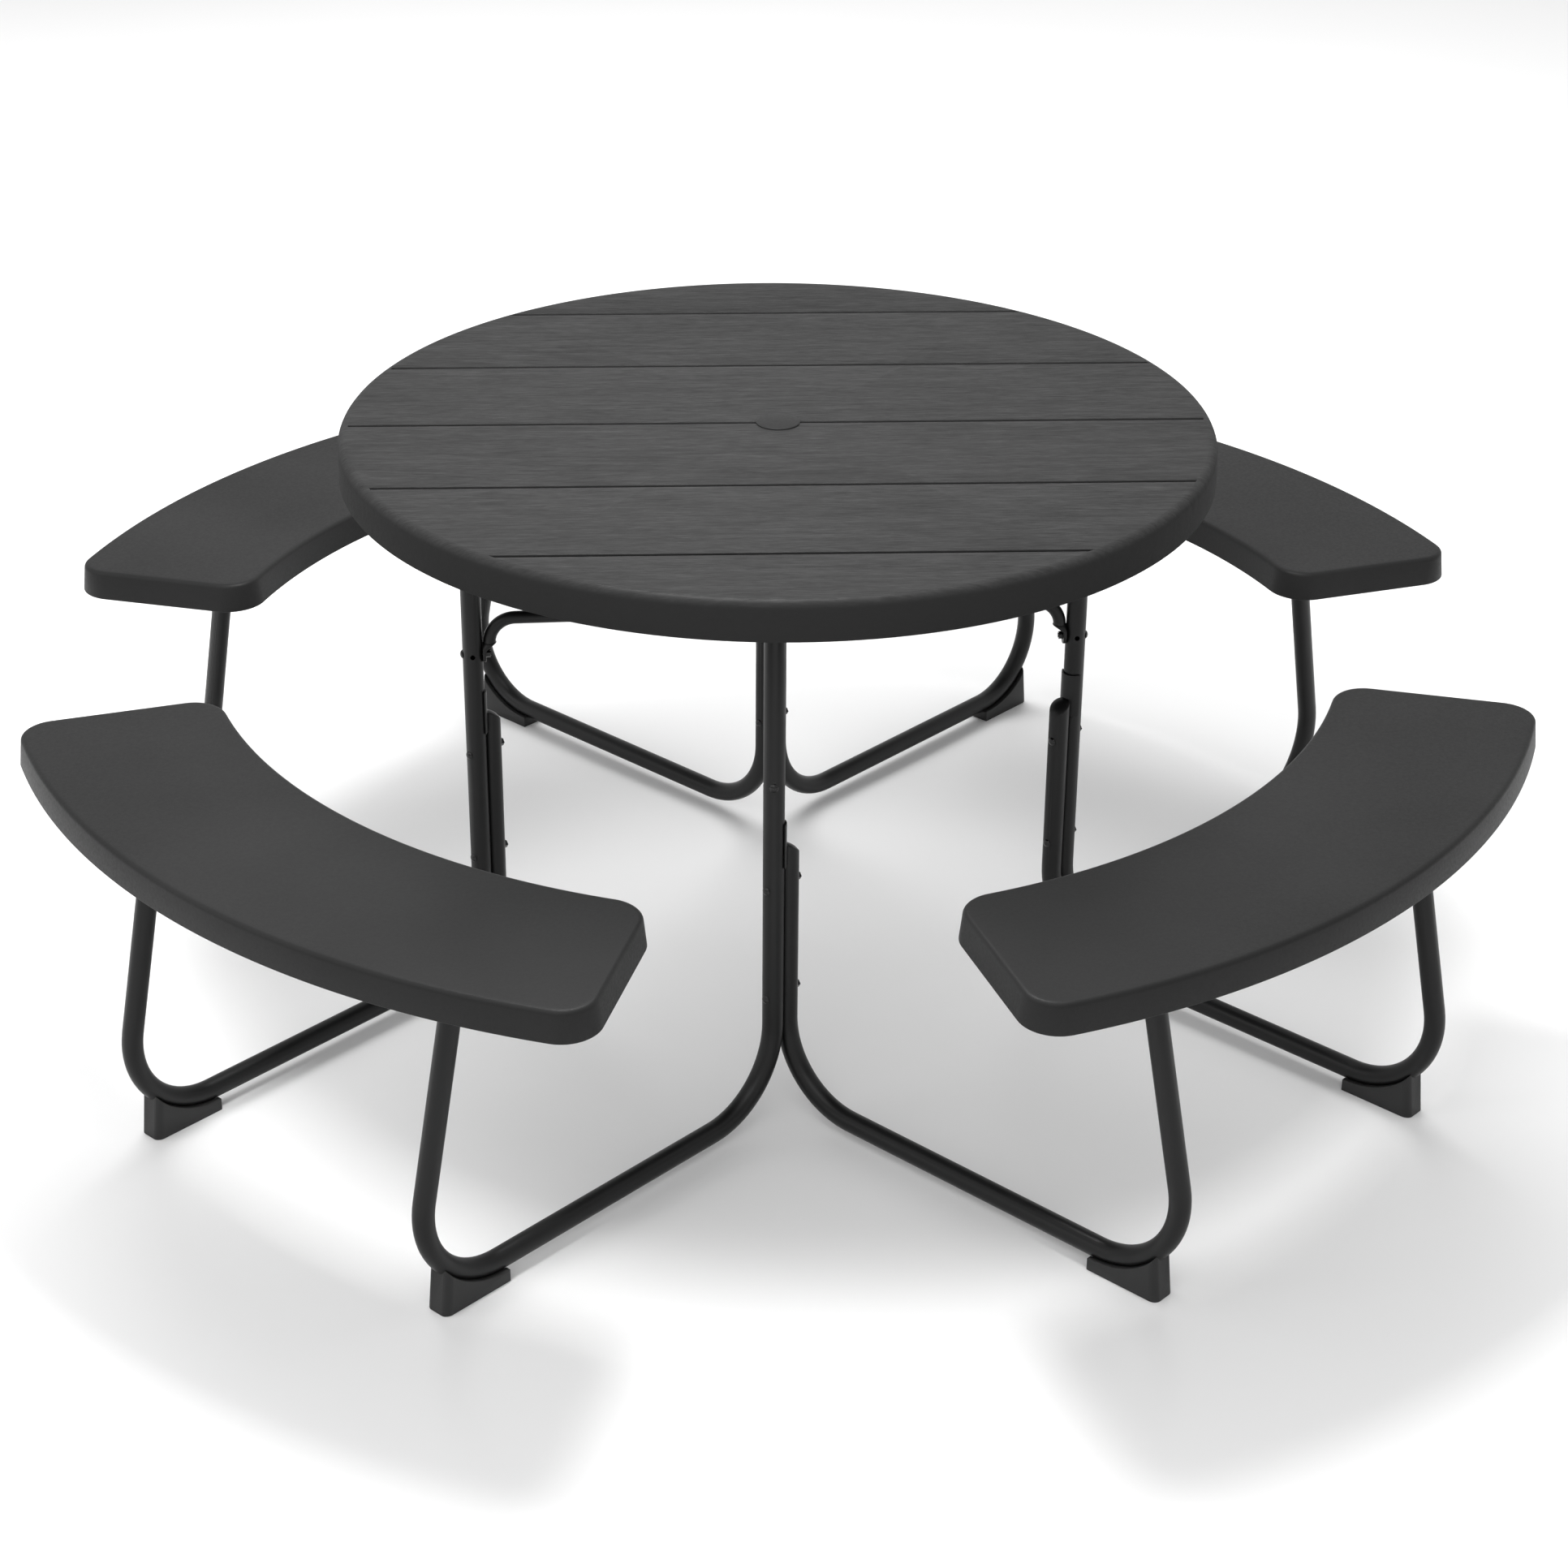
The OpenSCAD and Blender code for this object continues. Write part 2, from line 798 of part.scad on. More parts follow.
tabletop();
umbrella_cap();
umbrella_ring();
seat(SW);  // seat_sw
seat(SE);  // seat_se
seat(NE);  // seat_ne
seat(NW);  // seat_nw
tall_loop(SW, 1);  // tall_loop_sw_s
tall_loop(SW, -1);  // tall_loop_sw_w
tall_loop(NE, 1);  // tall_loop_ne_n
tall_loop(NE, -1);  // tall_loop_ne_e
short_loop(SE, -1);  // short_loop_se_s
short_loop(SE, 1);  // short_loop_se_e
short_loop(NW, 1);  // short_loop_nw_w
short_loop(NW, -1);  // short_loop_nw_n
foot(SW, 1);  // foot_sw_s
foot(SW, -1);  // foot_sw_w
foot(NE, 1);  // foot_ne_n
foot(NE, -1);  // foot_ne_e
foot(SE, -1);  // foot_se_s
foot(SE, 1);  // foot_se_e
foot(NW, 1);  // foot_nw_w
foot(NW, -1);  // foot_nw_n
seat_plate(SW, 1);  // seat_plate_sw_s
seat_plate(SW, -1);  // seat_plate_sw_w
seat_plate(NE, 1);  // seat_plate_ne_n
seat_plate(NE, -1);  // seat_plate_ne_e
seat_plate(SE, -1);  // seat_plate_se_s
seat_plate(SE, 1);  // seat_plate_se_e
seat_plate(NW, 1);  // seat_plate_nw_w
seat_plate(NW, -1);  // seat_plate_nw_n
post_flange(SW, 1);  // post_flange_s
post_flange(SW, -1);  // post_flange_w
post_flange(NE, 1);  // post_flange_n
post_flange(NE, -1);  // post_flange_e
brace_arm(SW, 1);  // brace_arm_s
brace_arm(SW, -1);  // brace_arm_w
brace_arm(NE, 1);  // brace_arm_n
brace_arm(NE, -1);  // brace_arm_e
pair_bolts();
pair_nuts();
brace_bolts();
brace_nuts();
flange_screws();
seat_screws();
ring_screws();
foot_screws();
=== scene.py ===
import json
from math import cos, inf, pi, radians, sin

import bmesh
import bpy
from mathutils import Matrix, Vector


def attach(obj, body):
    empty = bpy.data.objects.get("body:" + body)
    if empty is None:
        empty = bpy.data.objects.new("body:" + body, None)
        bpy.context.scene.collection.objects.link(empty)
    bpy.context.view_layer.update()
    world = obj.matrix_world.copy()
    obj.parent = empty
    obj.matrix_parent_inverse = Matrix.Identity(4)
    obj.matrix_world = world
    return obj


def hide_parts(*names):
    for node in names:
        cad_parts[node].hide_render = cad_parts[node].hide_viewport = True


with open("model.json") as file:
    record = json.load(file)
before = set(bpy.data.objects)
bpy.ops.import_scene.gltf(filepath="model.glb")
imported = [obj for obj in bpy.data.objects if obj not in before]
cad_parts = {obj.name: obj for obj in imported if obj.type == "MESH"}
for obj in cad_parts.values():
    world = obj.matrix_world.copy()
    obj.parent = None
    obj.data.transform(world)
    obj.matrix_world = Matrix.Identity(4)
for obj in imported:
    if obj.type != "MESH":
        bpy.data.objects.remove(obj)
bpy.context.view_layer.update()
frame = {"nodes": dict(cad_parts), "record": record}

MM = 0.001
JOIN = 0.000002
CAD_JOIN = 0.000005
HAIR = 1e-6
CUT = 1e-7

BENCHES = {"sw": 225, "se": 315, "ne": 45, "nw": 135}


# ---------------------------------------------------------------- materials

PLANKS_WITHIN = 0.2725
SHADE_LOW, SHADE_HIGH, SHADE_LEFT = 0.7480, 0.7510, 0.10
SCUFF_HEIGHT = 0.012


class Shader:
    """Small helper that wires the nodes of one material."""

    def __init__(self, name):
        self.material = bpy.data.materials.new(name)
        self.material.use_nodes = True
        self.tree = self.material.node_tree
        self.surface = self.tree.nodes["Principled BSDF"]
        self.place = self.add("ShaderNodeTexCoord").outputs["Object"]

    def add(self, kind, **values):
        node = self.tree.nodes.new(kind)
        for name, value in values.items():
            setattr(node, name, value)
        return node

    def join(self, source, target):
        self.tree.links.new(source, target)

    def fix(self, **values):
        for name, value in values.items():
            self.surface.inputs[name.replace("_", " ")].default_value = value

    def stretched(self, scale):
        mapping = self.add("ShaderNodeMapping")
        mapping.inputs["Scale"].default_value = scale
        self.join(self.place, mapping.inputs["Vector"])
        return mapping.outputs["Vector"]

    def noise(self, scale, detail=2.0, roughness=0.5, distortion=0.0, at=None):
        node = self.add("ShaderNodeTexNoise")
        node.inputs["Scale"].default_value = scale
        node.inputs["Detail"].default_value = detail
        node.inputs["Roughness"].default_value = roughness
        node.inputs["Distortion"].default_value = distortion
        self.join(at or self.place, node.inputs["Vector"])
        return node.outputs["Fac"]

    def math(self, operation, *values, clamp=False):
        node = self.add("ShaderNodeMath", operation=operation, use_clamp=clamp)
        for k, value in enumerate(values):
            if isinstance(value, (int, float)):
                node.inputs[k].default_value = value
            else:
                self.join(value, node.inputs[k])
        return node.outputs[0]

    def spread(self, value, low, high, to_low, to_high):
        node = self.add("ShaderNodeMapRange")
        self.join(value, node.inputs["Value"])
        for name, number in (("From Min", low), ("From Max", high),
                             ("To Min", to_low), ("To Max", to_high)):
            node.inputs[name].default_value = number
        return node.outputs["Result"]

    def ramp(self, value, stops):
        node = self.add("ShaderNodeValToRGB")
        colours = node.color_ramp.elements
        while len(colours) < len(stops):
            colours.new(0.5)
        for colour, (at, shade) in zip(colours, stops):
            colour.position = at
            colour.color = (*shade, 1.0)
        self.join(value, node.inputs["Fac"])
        return node.outputs["Color"]

    def blend(self, kind, fac, a, b):
        node = self.add("ShaderNodeMix", data_type="RGBA", blend_type=kind)
        for slot, value in ((0, fac), (6, a), (7, b)):
            if isinstance(value, (int, float)):
                node.inputs[slot].default_value = value
            elif isinstance(value, tuple):
                node.inputs[slot].default_value = (*value, 1.0)
            else:
                self.join(value, node.inputs[slot])
        return node.outputs[2]

    def relief(self, height, distance, strength=1.0, under=None):
        node = self.add("ShaderNodeBump")
        node.inputs["Strength"].default_value = strength
        node.inputs["Distance"].default_value = distance
        self.join(height, node.inputs["Height"])
        if under:
            self.join(under, node.inputs["Normal"])
        return node.outputs["Normal"]

    def finish(self, colour, roughness, normal):
        self.join(colour, self.surface.inputs["Base Color"])
        self.join(roughness, self.surface.inputs["Roughness"])
        self.join(normal, self.surface.inputs["Normal"])
        return self.material


def grey(value, warm=0.0):
    return (value * (1 + warm), value, value * (1 - warm))


def tabletop_plastic():
    """Grey moulded plastic with a fine straight grain along X, with painted shade on its rim and other
    sides that do not face up, and in its grooves.
    """
    s = Shader("tabletop plastic")
    streaks = s.noise(1.0, 8.0, 0.70, 0.7, s.stretched((11.0, 115.0, 60.0)))
    fine = s.noise(1.0, 4.0, 0.65, 0.3, s.stretched((55.0, 480.0, 300.0)))
    broad = s.noise(1.0, 3.0, 0.6, 0.4, s.stretched((2.6, 17.0, 9.0)))
    grain = s.math("ADD", s.math("MULTIPLY", streaks, 0.52), s.math("MULTIPLY", fine, 0.48))
    colour = s.ramp(grain, [(0.34, grey(0.0125)), (0.50, grey(0.0205)), (0.66, grey(0.031))])
    cloud = s.spread(broad, 0.3, 0.7, 0.84, 1.16)
    colour = s.blend("MULTIPLY", 1.0, colour, s.ramp(cloud, [(0.0, grey(0.0)), (1.0, grey(1.0))]))
    # painted shade: faces that do not look up, the rim and the sides, get a darker flat grey
    up = s.add("ShaderNodeSeparateXYZ")
    s.join(s.add("ShaderNodeNewGeometry").outputs["Normal"], up.inputs[0])
    up_vs_painted_side_shade = s.spread(up.outputs["Z"], 0.25, 0.95, 0.0, 1.0)
    colour = s.blend("MIX", up_vs_painted_side_shade, grey(0.024), colour)
    # painted shade: the grooves are darker towards their bottom; the round rim beyond the planks is
    # left as it is
    at = s.add("ShaderNodeSeparateXYZ")
    s.join(s.place, at.inputs[0])
    across = s.math("POWER", at.outputs["X"], 2.0)
    from_axis = s.math("ADD", across, s.math("POWER", at.outputs["Y"], 2.0))
    planks = s.math("LESS_THAN", from_axis, PLANKS_WITHIN)
    sunk = s.spread(at.outputs["Z"], SHADE_LOW, SHADE_HIGH, SHADE_LEFT, 1.0)
    shade = s.math("SUBTRACT", 1.0, s.math("MULTIPLY", planks, s.math("SUBTRACT", 1.0, sunk)))
    colour = s.blend("MULTIPLY", 1.0, colour, s.ramp(shade, [(0.0, grey(0.0)), (1.0, grey(1.0))]))
    duller_side = s.spread(up_vs_painted_side_shade, 0.0, 1.0, 0.28, 0.0)
    rough = s.math("ADD", s.spread(grain, 0.3, 0.7, 0.58, 0.42), duller_side)
    normal = s.relief(fine, 0.00016, 0.8, s.relief(streaks, 0.0005, 0.6))
    s.fix(IOR=1.46, Specular_IOR_Level=0.1)
    return s.finish(colour, rough, normal)


def bench_plastic(name="bench plastic", shade=0.0135):
    """Dark grey moulded plastic with a fine pebble."""
    s = Shader(name)
    pebble = s.noise(1500.0, 2.0, 0.55)
    soft = s.noise(260.0, 3.0, 0.6)
    broad = s.noise(3.2, 2.0, 0.5)
    tone = s.math("ADD", s.math("MULTIPLY", pebble, 0.45), s.math("MULTIPLY", broad, 0.55))
    colour = s.ramp(tone, [(0.32, grey(shade * 0.62)), (0.68, grey(shade * 1.38))])
    rough = s.spread(soft, 0.3, 0.7, 0.46, 0.56)
    normal = s.relief(pebble, 0.00008, 0.6, s.relief(soft, 0.0001, 0.5))
    s.fix(IOR=1.46, Specular_IOR_Level=0.2)
    return s.finish(colour, rough, normal)


def powder_coat(name="black powder coat", shade=0.005,
                rough_low=0.34, rough_high=0.46, gloss=0.3):
    """Satin black powder coat with a light orange peel."""
    s = Shader(name)
    peel = s.noise(900.0, 2.0, 0.5)
    broad = s.noise(11.0, 3.0, 0.6)
    colour = s.ramp(broad, [(0.3, grey(shade * 0.85)), (0.7, grey(shade * 1.2, -0.02))])
    rough = s.spread(broad, 0.3, 0.7, rough_low, rough_high)
    normal = s.relief(peel, 0.00007, 0.55)
    s.fix(IOR=1.5, Specular_IOR_Level=gloss)
    return s.finish(colour, rough, normal)


def foot_plastic():
    """Black moulded plastic, duller than the tube and scuffed near the floor."""
    s = Shader("foot plastic")
    grain = s.noise(1100.0, 2.0, 0.5)
    scuffs = s.noise(1.0, 4.0, 0.7, 0.3, s.stretched((60.0, 60.0, 240.0)))
    height = s.add("ShaderNodeSeparateXYZ")
    s.join(s.place, height.inputs[0])
    low = s.spread(height.outputs["Z"], 0.0, SCUFF_HEIGHT, 1.0, 0.0)
    wear = s.math("MULTIPLY", s.spread(scuffs, 0.5, 0.7, 0.0, 1.0), low, clamp=True)
    clean = s.ramp(grain, [(0.3, grey(0.007)), (0.7, grey(0.011))])
    colour = s.blend("MIX", wear, clean, grey(0.020))
    rough = s.spread(grain, 0.3, 0.7, 0.46, 0.58)
    normal = s.relief(grain, 0.00008, 0.5)
    s.fix(IOR=1.46)
    return s.finish(colour, rough, normal)


TOP = tabletop_plastic()
BENCH = bench_plastic()
COAT = powder_coat()
FOOT = foot_plastic()
CAP = bench_plastic("cap plastic", 0.011)
BOLTS = powder_coat("blackened fasteners", 0.0015, 0.2, 0.3, 0.45)

BY_SLOT = {
    "top_plastic": TOP,
    "seat_plastic": BENCH,
    "cap_plastic": CAP,
    "frame_steel": COAT,
    "foot_plastic": FOOT,
    "fastener_steel": BOLTS,
}

for part in frame["record"]["subparts"]:
    node = frame["nodes"][part["node"]]
    node.data.materials.clear()
    node.data.materials.append(BY_SLOT[part["material_slot"]])


# ---------------------------------------------------------------- shaping helpers

PROFILE_STEPS = 6


def verts_of(geometry):
    return [item for item in geometry if isinstance(item, bmesh.types.BMVert)]


def rounded_profile(bm, corners):
    """Closed loop in the XZ plane from (x, z, rounding) corners in millimetres; returns its edges."""
    old = set(bm.faces)
    verts = [bm.verts.new((x * MM, 0.0, z * MM)) for x, z, _ in corners]
    bm.faces.new(verts)
    for vert, (_, _, rounding) in zip(verts, corners):
        if rounding:
            bmesh.ops.bevel(bm, geom=[vert], offset=rounding * MM, offset_type="OFFSET",
                            profile_type="SUPERELLIPSE", segments=PROFILE_STEPS, profile=0.5,
                            affect="VERTICES", material=-1)
    face = next(f for f in bm.faces if f not in old)
    edges = list(face.edges)
    bmesh.ops.delete(bm, geom=[face], context="FACES_ONLY")
    return edges


def spun(bm, edges, steps):
    verts = list({v for e in edges for v in e.verts})
    bmesh.ops.spin(bm, geom=edges + verts, cent=(0, 0, 0), axis=(0, 0, 1), dvec=(0, 0, 0),
                   angle=2 * pi, steps=steps, use_merge=True, use_duplicate=False)


def block(bm, low, high, turn=0.0, rounding=0.0):
    """Box between two corners in millimetres, turned about Z, with rounded edges."""
    size = [(h - l) * MM for l, h in zip(low, high)]
    middle = [(h + l) / 2 * MM for l, h in zip(low, high)]
    made = bmesh.ops.create_cube(bm, size=1.0)["verts"]
    bmesh.ops.scale(bm, vec=size, verts=made)
    bmesh.ops.translate(bm, vec=middle, verts=made)
    bmesh.ops.rotate(bm, cent=(0, 0, 0), matrix=Matrix.Rotation(turn, 3, "Z"), verts=made)
    if rounding:
        edges = list({e for v in made for e in v.link_edges})
        bmesh.ops.bevel(bm, geom=edges, offset=rounding * MM, offset_type="OFFSET", segments=2,
                        profile=0.5, affect="EDGES", material=-1)


def piece(name, bm, material, slot, *stands_for, sharp=32.0, tidy=True, body="table"):
    """Turns a finished bmesh into an object that rides on a body and stands for CAD nodes."""
    if tidy:
        bmesh.ops.remove_doubles(bm, verts=bm.verts, dist=JOIN)
        bmesh.ops.recalc_face_normals(bm, faces=bm.faces)
    for face in bm.faces:
        face.smooth = True
    mesh = bpy.data.meshes.new(name)
    bm.to_mesh(mesh)
    bm.free()
    mesh.set_sharp_from_angle(angle=radians(sharp))
    mesh.materials.append(material)
    made = bpy.data.objects.new(name, mesh)
    bpy.context.scene.collection.objects.link(made)
    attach(made, body)
    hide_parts(*stands_for)
    return made


# ---------------------------------------------------------------- round top

TOP_R, TOP_H, RIM_LOW, PANEL_LOW = 533.0, 751.0, 703.0, 742.0
HOLE_R, BOSS_R, RIB_LOW, RIB_T = 22.0, 35.0, 728.0, 4.0
INNER_R = 527.0
PLANK, GROOVE_W, GROOVE_D, GROOVE_REACH = 200.0, 6.0, 4.0, 520.5
GROOVE_START = 24.5
GROOVE_LIP, GROOVE_TAPER = 0.7, 0.6
FACE_RINGS = (130, 260, 390)
TOP_STEPS, RING_STEPS = 192, 128
RIBS, RIB_EDGE, RIB_RINGS, SUNK_IN = 12, 0.6, (0.4, 0.88), 1
POST_SPREAD, POST_R = 42.27, 380.6
PAD_R, PAD_H, PAD_MID, PAD_EDGE, PAD_STEPS = 41, 28.5, 728.4, 1.2, 64
POSTS = [radians(BENCHES[bench] + side * POST_SPREAD) for bench in ("sw", "ne") for side in (1, -1)]


def planked_top():
    bm = bmesh.new()
    rings = [GROOVE_START, *FACE_RINGS, GROOVE_REACH]
    shell = rounded_profile(bm, [
        (HOLE_R, TOP_H, 0), (HOLE_R, RIB_LOW, 0.8), (BOSS_R, RIB_LOW, 0.8), (BOSS_R, PANEL_LOW, 2),
        (INNER_R, PANEL_LOW, 4), (INNER_R - 0.5, RIM_LOW, 1.8), (TOP_R, RIM_LOW, 2.2),
        (TOP_R - 1.2, TOP_H, 11)] + [(r, TOP_H, 0) for r in reversed(rings)])
    spun(bm, shell, TOP_STEPS)
    bmesh.ops.remove_doubles(bm, verts=bm.verts, dist=JOIN)
    bmesh.ops.recalc_face_normals(bm, faces=bm.faces)

    def on_top(face):
        return all(abs(v.co.z - TOP_H * MM) < HAIR and
                   (GROOVE_START - 0.1) * MM < v.co.xy.length < (GROOVE_REACH + 0.1) * MM
                   for v in face.verts)

    for k in range(-2, 3):
        middle = k * PLANK * MM
        half = GROOVE_W / 2 * MM
        for side in (-half, half):
            flat = [f for f in bm.faces if on_top(f)]
            around = list({e for f in flat for e in f.edges})
            around += list({v for f in flat for v in f.verts})
            bmesh.ops.bisect_plane(bm, geom=flat + around, dist=CUT,
                                   plane_co=(0, middle + side, 0), plane_no=(0, 1, 0))
        strip = [f for f in bm.faces if on_top(f) and
                 all(abs(v.co.y - middle) < half + HAIR for v in f.verts)]
        rim = [e for f in strip for e in f.edges if sum(g in strip for g in e.link_faces) == 1]
        lips = [e for e in rim if abs(e.verts[0].co.y - e.verts[1].co.y) < HAIR]
        lip_verts = {v for e in lips for v in e.verts}
        sunk = bmesh.ops.extrude_face_region(bm, geom=strip)
        floor_verts = verts_of(sunk["geom"])
        bmesh.ops.translate(bm, vec=(0, 0, -GROOVE_D * MM), verts=floor_verts)
        for v in floor_verts:
            v.co.y = middle + (v.co.y - middle) * GROOVE_TAPER
        bmesh.ops.delete(bm, geom=[f for f in strip if f.is_valid], context="FACES")
        edges = [e for v in lip_verts if v.is_valid for e in v.link_edges
                 if abs(e.verts[0].co.z - e.verts[1].co.z) < CUT
                 and e.other_vert(v) in lip_verts and abs(e.verts[0].co.y - e.verts[1].co.y) < HAIR]
        bmesh.ops.bevel(bm, geom=list(set(edges)), offset=GROOVE_LIP * MM, offset_type="OFFSET",
                        segments=3, profile=0.5, affect="EDGES", material=-1)

    # ribs, rings and pads on the underside
    for k in range(RIBS):
        block(bm, (BOSS_R - SUNK_IN, -RIB_T / 2, RIB_LOW),
              (INNER_R + SUNK_IN, RIB_T / 2, PANEL_LOW + SUNK_IN), (k + 0.5) * 2 * pi / RIBS, RIB_EDGE)
    for share in RIB_RINGS:
        inside, outside = INNER_R * share - RIB_T / 2, INNER_R * share + RIB_T / 2
        ring = rounded_profile(bm, [
            (inside, RIB_LOW, RIB_EDGE), (outside, RIB_LOW, RIB_EDGE),
            (outside, PANEL_LOW + SUNK_IN, 0), (inside, PANEL_LOW + SUNK_IN, 0)])
        spun(bm, ring, RING_STEPS)
    for angle in POSTS:
        pad = bmesh.ops.create_cone(bm, cap_ends=True, segments=PAD_STEPS, radius1=PAD_R * MM,
                                    radius2=PAD_R * MM, depth=PAD_H * MM)["verts"]
        at = (POST_R * MM * cos(angle), POST_R * MM * sin(angle), PAD_MID * MM)
        bmesh.ops.translate(bm, vec=at, verts=pad)
        edges = {e for v in pad for e in v.link_edges if all(w.co.z < PAD_MID * MM for w in e.verts)}
        bmesh.ops.bevel(bm, geom=list(edges), offset=PAD_EDGE * MM, offset_type="OFFSET", segments=3,
                        profile=0.5, affect="EDGES", material=-1)
    return piece("moulded_top", bm, TOP, "top_plastic", "tabletop")


# ---------------------------------------------------------------- benches

SEAT_IN, SEAT_OUT, SEAT_BACK, SEAT_HALF = 758.0, 1006.0, 75.0, radians(29)
SEAT_LOW, SEAT_TOP, SEAT_CORNER, CORNER_STEPS = 430.0, 467.0, 45.0, 14
SEAT_MID = (SEAT_IN + SEAT_OUT) / 2
SEAT_LENGTH = 2 * SEAT_HALF * SEAT_MID
END_ZONE = 70.0
DRAFT, TOP_LIP, LOW_LIP, EDGE_BAND = 3.2, 6.0, 1.5, 4.0
CUTS_LONG, CUTS_WIDE = 56, 6


def bent_round(bm, bench):
    """Bends a straight blank, long in X, round the bench's arc and turns it to its place."""
    turn = Matrix.Rotation(bench, 3, "Z")
    for v in bm.verts:
        along, radius = v.co.x / MM, SEAT_MID + v.co.y / MM
        from_end = SEAT_LENGTH / 2 - abs(along)
        if from_end < END_ZONE:
            angle = (SEAT_HALF - from_end / radius) * (1 if along > 0 else -1)
        else:
            angle = (SEAT_HALF - END_ZONE / radius) * along / (SEAT_LENGTH / 2 - END_ZONE)
        flat = Vector(((radius * cos(angle) - SEAT_BACK) * MM, radius * sin(angle) * MM, v.co.z))
        v.co = turn @ flat


def blank_sheet(bm, z, down):
    """Straight flat outline of a bench with rounded corners, cut across so that it can bend."""
    made = bmesh.ops.create_grid(bm, x_segments=1, y_segments=1, size=0.5)["verts"]
    bmesh.ops.scale(bm, vec=(SEAT_LENGTH * MM, (SEAT_OUT - SEAT_IN) * MM, 1), verts=made)
    bmesh.ops.translate(bm, vec=(0, 0, z * MM), verts=made)
    face = made[0].link_faces[0]
    old = set(bm.faces) - {face}
    bmesh.ops.bevel(bm, geom=made, offset=SEAT_CORNER * MM, offset_type="OFFSET",
                    segments=CORNER_STEPS, profile=0.5, affect="VERTICES", material=-1)
    new = [f for f in bm.faces if f not in old]
    straight = (SEAT_LENGTH - 2 * SEAT_CORNER) * MM
    wide = (SEAT_OUT - SEAT_IN - 2 * SEAT_CORNER) * MM
    cuts = [((k / CUTS_LONG - 0.5) * straight, (1, 0, 0)) for k in range(CUTS_LONG + 1)]
    cuts += [((k / CUTS_WIDE - 0.5) * wide, (0, 1, 0)) for k in range(CUTS_WIDE + 1)]
    for at, axis in cuts:
        geom = new + list({e for f in new for e in f.edges}) + list({v for f in new for v in f.verts})
        bmesh.ops.bisect_plane(bm, geom=geom, dist=CUT, plane_co=Vector(axis) * at, plane_no=axis)
        new = [f for f in bm.faces if f not in old]
    if (new[0].normal.z > 0) == down:
        bmesh.ops.reverse_faces(bm, faces=new)
    return new


def raised(bm, faces, thickness, depth):
    bmesh.ops.inset_region(bm, faces=faces, use_boundary=True, use_even_offset=True,
                           thickness=thickness * MM, depth=depth * MM)


def quarter(bm, faces, radius, steps):
    """Rounds an edge inwards and on by a quarter circle."""
    turn = pi / 2 / steps
    for k in range(steps):
        inwards = cos(k * turn) - cos((k + 1) * turn)
        onwards = sin((k + 1) * turn) - sin(k * turn)
        raised(bm, faces, radius * inwards, radius * onwards)


def curved_bench(name, bench, node):
    bm = bmesh.new()
    top = blank_sheet(bm, SEAT_LOW + LOW_LIP, False)
    raised(bm, top, DRAFT, SEAT_TOP - SEAT_LOW - LOW_LIP - TOP_LIP)
    quarter(bm, top, TOP_LIP, steps=6)
    raised(bm, top, EDGE_BAND, 0.0)
    under = blank_sheet(bm, SEAT_LOW + LOW_LIP, True)
    quarter(bm, under, LOW_LIP, steps=3)
    raised(bm, under, EDGE_BAND, 0.0)
    bent_round(bm, bench)
    return piece(name, bm, BENCH, "seat_plastic", node, sharp=40)


# ---------------------------------------------------------------- frame pieces with eased edges

FLAT_WITHIN, SHARP_FROM = radians(0.3), radians(35.0)
FOOT_EDGE, PLATE_EDGE, BRACE_EDGE, CAP_EDGE, TONGUE_EDGE = 1.2, 0.7, 0.8, 0.8, 0.6
TONGUE_LOW, TONGUE_HIGH = 0.344, 0.41
FOOT_REACH, FOOT_H, LEAN_OUT, LEAN_IN = 30.0, 58.0, 5.0, 1.5


def merged_copy(node):
    """Mesh of a CAD node with its doubled points joined and its flat facets run together."""
    bm = bmesh.new()
    bm.from_mesh(frame["nodes"][node].data)
    bm.transform(frame["nodes"][node].matrix_world)
    bmesh.ops.remove_doubles(bm, verts=bm.verts, dist=CAD_JOIN)
    bmesh.ops.dissolve_limit(bm, angle_limit=FLAT_WITHIN, verts=bm.verts, edges=bm.edges,
                             use_dissolve_boundaries=False)
    return bm


def eased(node, slot, width, low=-inf, high=inf, shape=None, body="table"):
    """Stands for a CAD node, with its sharp edges between two heights rounded by a width in mm."""
    bm = merged_copy(node)
    if shape:
        shape(bm)
    edges = [e for e in bm.edges if len(e.link_faces) == 2 and e.calc_face_angle() > SHARP_FROM
             and all(low < v.co.z < high for v in e.verts)]
    bmesh.ops.bevel(bm, geom=edges, offset=width * MM, offset_type="OFFSET", segments=3, profile=0.5,
                    affect="EDGES", clamp_overlap=False, material=-1)
    return piece(node + "_eased", bm, BY_SLOT[slot], slot, node, tidy=False, body=body)


def flared(bench):
    """Leans a foot's outer end outwards to the floor."""
    out = Vector((cos(bench), sin(bench), 0.0))

    def lean(bm):
        reach = max(v.co.dot(out) for v in bm.verts)
        for v in bm.verts:
            near = max(0.0, 1.0 - (reach - v.co.dot(out)) / (FOOT_REACH * MM))
            low = 1.0 - v.co.z / (FOOT_H * MM)
            v.co += out * near * ((LEAN_OUT + LEAN_IN) * low - LEAN_IN) * MM
    return lean


def eased_frame():
    for part in frame["record"]["subparts"]:
        node = part["node"]
        if node.startswith("foot_") and node != "foot_screws":
            bench = radians(BENCHES[node.split("_")[1]])
            eased(node, "foot_plastic", FOOT_EDGE, shape=flared(bench))
        elif node.startswith(("seat_plate_", "post_flange_")):
            eased(node, "frame_steel", PLATE_EDGE)
        elif node == "umbrella_cap":
            eased(node, "cap_plastic", CAP_EDGE, body="cap")
        elif node == "umbrella_ring" or node.startswith("brace_arm_"):
            eased(node, "frame_steel", BRACE_EDGE)
        elif node.startswith("short_loop_"):
            eased(node, "frame_steel", TONGUE_EDGE, low=TONGUE_LOW, high=TONGUE_HIGH)


eased_frame()
planked_top()
for name, bench in BENCHES.items():
    curved_bench("bench_" + name, radians(bench), "seat_" + name)


# ---------------------------------------------------------------- floor, light and camera

